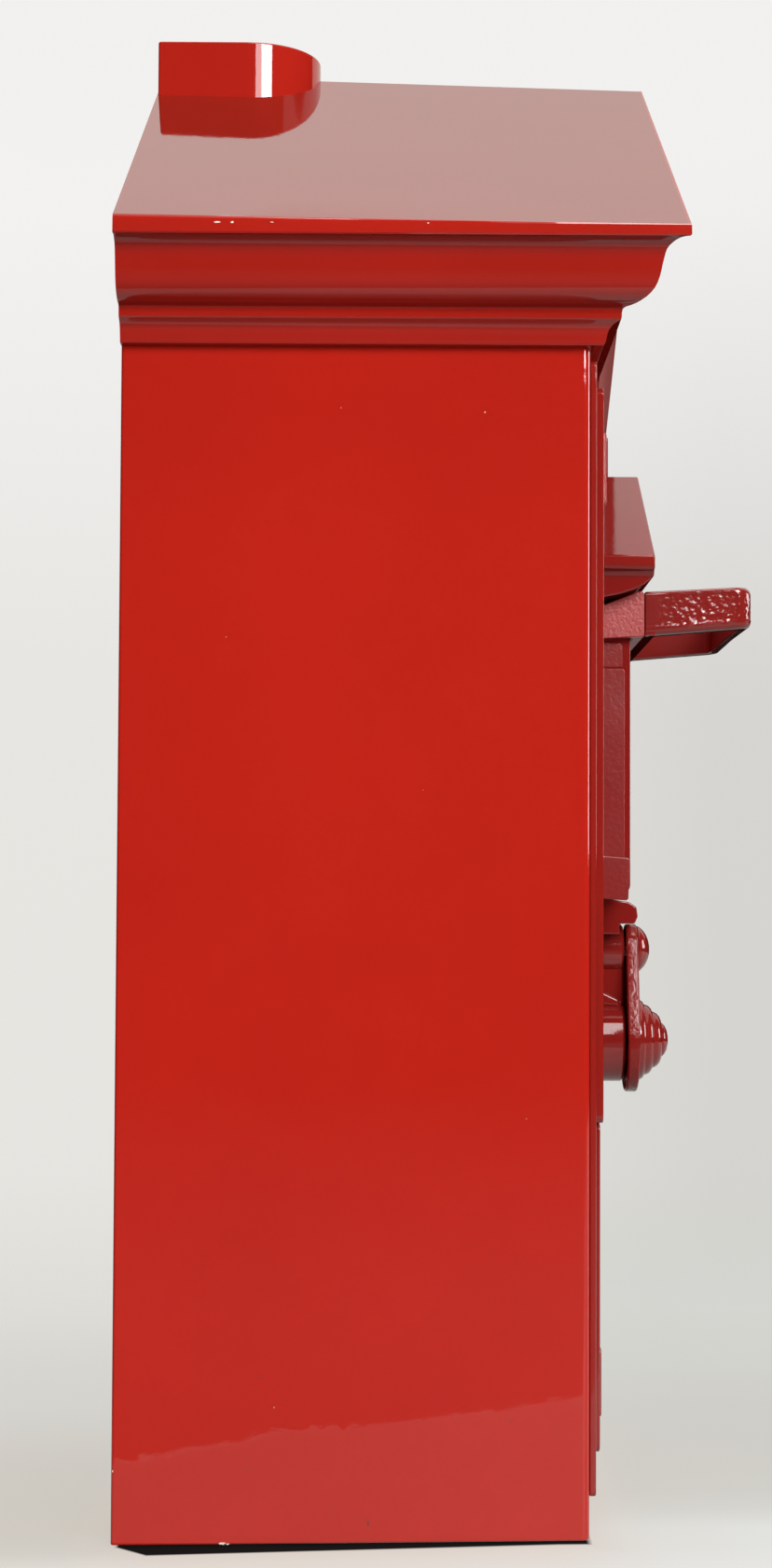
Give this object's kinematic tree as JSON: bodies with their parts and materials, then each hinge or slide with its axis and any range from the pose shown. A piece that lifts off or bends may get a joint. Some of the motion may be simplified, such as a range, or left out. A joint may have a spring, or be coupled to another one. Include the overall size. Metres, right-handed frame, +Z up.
{
  "type": "street fire alarm box",
  "caption": "Cottage-roofed cast street fire alarm box with a hinged front door, a hooded pull-down door with a ring handle, a keyhole cover, and a telegraph movement inside.",
  "frame": {"origin": "on the ground plane under the box, midway between its sides and midway between its back face and the end of its handle", "axes": "+Z up, front of the box towards -Y, +X to the right of someone facing the front"},
  "size_m": [0.305, 0.194, 0.4669],
  "materials": {
    "red_enamel": "gloss enamel over cast metal",
    "dark_red_enamel": "gloss enamel brushed thickly over small castings",
    "steel": "turned and ground steel",
    "brass": "lacquered brass",
    "black_iron": "black japanned iron",
    "ebonite": "hard rubber",
    "coil_winding": "cotton covered wire, wound close",
    "glass": "clear",
    "porcelain": "glazed porcelain"
  },
  "bodies": {
    "case": {"case_shell": "red_enamel", "door_hinge_pin_lower": "dark_red_enamel", "door_hinge_pin_upper": "dark_red_enamel", "case_screw_1": "steel", "case_screw_2": "steel", "case_screw_3": "steel", "case_screw_4": "steel", "inner_door_hinge_pin": "steel", "lever_pivot": "steel", "winding_arbor": "steel", "gong_stud": "steel", "lever_bracket": "brass", "movement_back_plate": "brass", "movement_front_plate": "brass", "movement_pillar_1": "brass", "movement_pillar_2": "brass", "movement_pillar_3": "brass", "movement_pillar_4": "brass", "contact_spring_fixed": "brass", "contact_spring_moving": "brass", "bell_gong": "brass", "binding_post_1": "brass", "binding_post_2": "brass", "binding_post_3": "brass", "inner_case": "black_iron", "inner_door": "black_iron", "magnet_yoke": "black_iron", "contact_block": "ebonite", "key_base": "ebonite", "lead_wire_1": "ebonite", "lead_wire_2": "ebonite", "coil_left": "coil_winding", "coil_right": "coil_winding", "window_glass": "glass", "terminal_block": "porcelain", "lightning_arrester": "porcelain"},
    "front_door": {"front_door": "red_enamel", "pull_door_pin": "steel", "pull_door_spring": "steel", "cover_rivet": "dark_red_enamel", "bolt_guide_inner": "steel", "bolt_guide_outer": "steel"},
    "pull_door": {"pull_down_door": "dark_red_enamel", "pull_handle": "dark_red_enamel", "trip_finger": "brass"},
    "keyhole_cover": {"keyhole_cover": "dark_red_enamel"},
    "lock": {"lock_plug": "brass", "lock_cam": "steel"},
    "bolt": {"lock_bolt": "steel"},
    "latch": {"inner_door_latch": "brass"},
    "lever": {"starting_lever": "brass"},
    "barrel": {"mainspring_barrel": "brass", "mainspring": "steel"},
    "code_train": {"code_wheel": "brass"},
    "governor": {"governor": "steel"},
    "armature": {"bell_armature": "black_iron"},
    "key": {"telegraph_key": "brass"}
  },
  "joints": [
    {"name": "front_door_hinge", "type": "hinge", "parent": "case", "child": "front_door", "pos_m": [0.131, -0.043, 0.178], "axis": [0, 0, 1], "range_deg": [0, 110]},
    {"name": "pull_door_hinge", "type": "hinge", "parent": "front_door", "child": "pull_door", "pos_m": [0, -0.0526, 0.1904], "axis": [1, 0, 0], "range_deg": [0, 80], "stiffness_Nm_per_rad": 0.35, "springref_deg": -74.48},
    {"name": "keyhole_cover_swing", "type": "hinge", "parent": "front_door", "child": "keyhole_cover", "pos_m": [0, -0.0618, 0.1669], "axis": [0, 1, 0], "range_deg": [-70, 70]},
    {"name": "lock_turn", "type": "hinge", "parent": "front_door", "child": "lock", "pos_m": [0, -0.044, 0.1366], "axis": [0, -1, 0], "range_deg": [0, 90]},
    {"name": "bolt_slide", "type": "slide", "parent": "front_door", "child": "bolt", "axis": [-1, 0, 0], "range_m": [0, 0.017]},
    {"name": "inner_latch_turn", "type": "hinge", "parent": "case", "child": "latch", "pos_m": [-0.08, -0.0102, 0.182], "axis": [0, -1, 0], "range_deg": [0, 90]},
    {"name": "starting_lever_pivot", "type": "hinge", "parent": "case", "child": "lever", "pos_m": [0.017, -0.015, 0.205], "axis": [1, 0, 0], "range_deg": [0, 18]},
    {"name": "barrel_turn", "type": "hinge", "parent": "case", "child": "barrel", "pos_m": [-0.014, 0.055, 0.186], "axis": [0, -1, 0], "range_deg": [0, 360]},
    {"name": "code_wheel_turn", "type": "hinge", "parent": "case", "child": "code_train", "pos_m": [0.0049, 0.055, 0.2187], "axis": [0, -1, 0], "range_deg": [-1440, 0]},
    {"name": "governor_turn", "type": "hinge", "parent": "case", "child": "governor", "pos_m": [0.0102, 0.055, 0.2486], "axis": [0, -1, 0], "range_deg": [0, 4320]},
    {"name": "armature_pull", "type": "hinge", "parent": "case", "child": "armature", "pos_m": [-0.0095, 0.061, 0.1168], "axis": [0, -1, 0], "range_deg": [0, 2.2], "stiffness_Nm_per_rad": 0.05, "springref_deg": -8.59},
    {"name": "telegraph_key_press", "type": "hinge", "parent": "case", "child": "key", "pos_m": [-0.035, -0.017, 0.112], "axis": [1, 0, 0], "range_deg": [0, 3], "stiffness_Nm_per_rad": 0.08, "springref_deg": -5.73}
  ],
  "couplings": [
    {"joint": "lock_turn", "follows": "bolt_slide", "rad_per_m": 92.4},
    {"joint": "starting_lever_pivot", "follows": "pull_door_hinge", "ratio": 0.2},
    {"joint": "code_wheel_turn", "follows": "barrel_turn", "ratio": -4},
    {"joint": "governor_turn", "follows": "barrel_turn", "ratio": 12}
  ]
}
